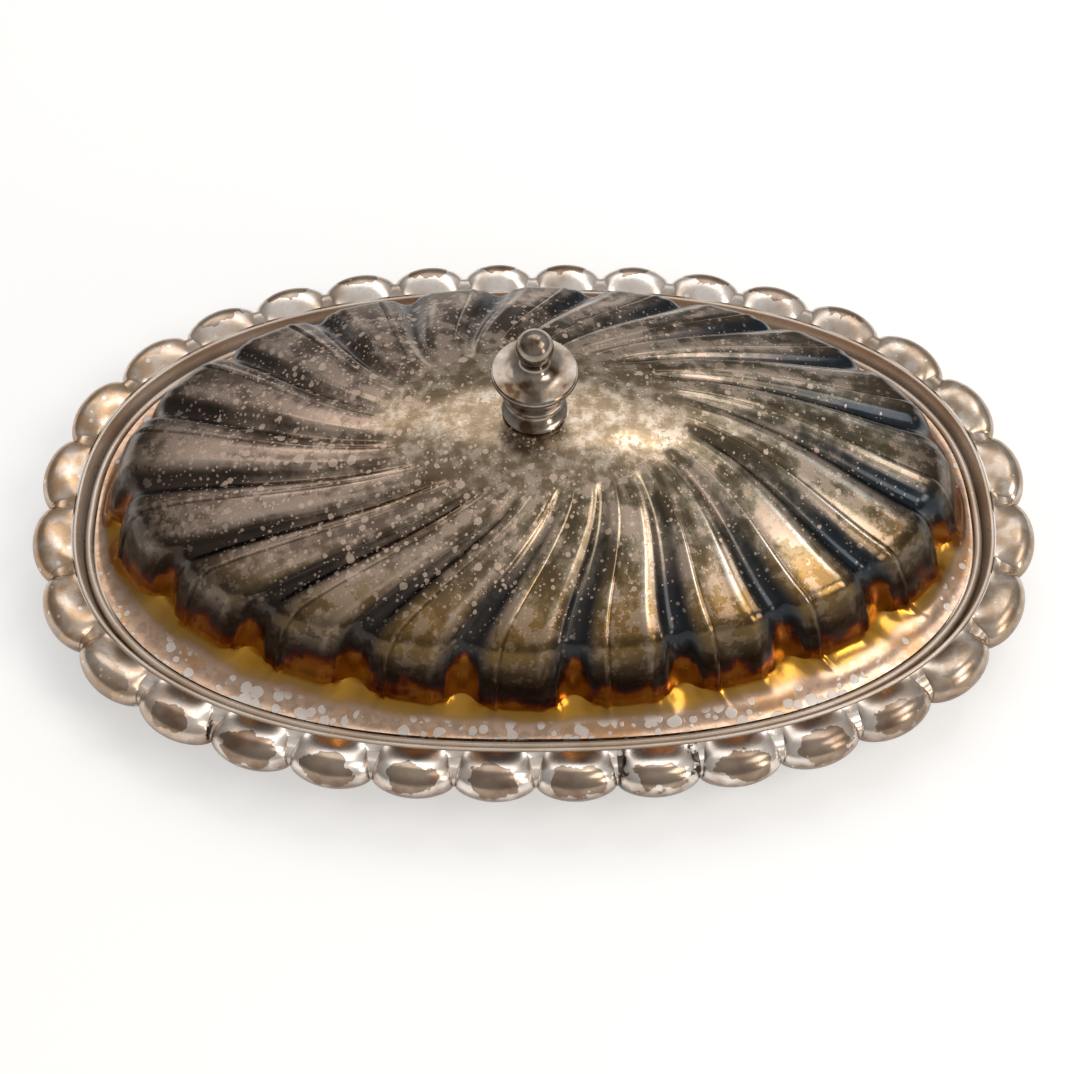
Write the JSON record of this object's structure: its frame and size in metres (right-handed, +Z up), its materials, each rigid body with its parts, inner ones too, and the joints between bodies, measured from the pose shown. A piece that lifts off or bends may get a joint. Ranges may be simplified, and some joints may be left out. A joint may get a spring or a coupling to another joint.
{
  "type": "covered butter dish",
  "caption": "Oval silver-plated butter dish with a lobed border, a glass liner, and a swirl-fluted domed lid with an urn-shaped knob.",
  "frame": {"origin": "on the table, under the middle of the dish", "axes": "+X along the length, +Y across, away from the pictured side, +Z up through the knob"},
  "size_m": [0.2016, 0.1278, 0.0679],
  "materials": {
    "dish_silver": "silver plate on brass, polished, with brown tarnish",
    "lid_silver": "silver plate on brass, polished, darkly tarnished",
    "bare_brass": "turned brass",
    "clear_glass": "pressed glass"
  },
  "bodies": {
    "dish": {"dish_body": "dish_silver", "dish_border": "dish_silver"},
    "liner": {"glass_liner": "clear_glass"},
    "lid": {"lid_dome": "lid_silver", "lid_rim_wire": "dish_silver", "knob_spool": "lid_silver", "knob_urn": "lid_silver", "knob_tip": "lid_silver", "knob_stud": "bare_brass", "knob_washer": "bare_brass", "knob_nut": "bare_brass"}
  },
  "joints": [
    {"name": "liner_lift", "type": "slide", "parent": "dish", "child": "liner", "axis": [0, 0, 1], "range_m": [0, 0.05]},
    {"name": "lid_lift", "type": "slide", "parent": "liner", "child": "lid", "axis": [0, 0, 1], "range_m": [0, 0.12]}
  ]
}
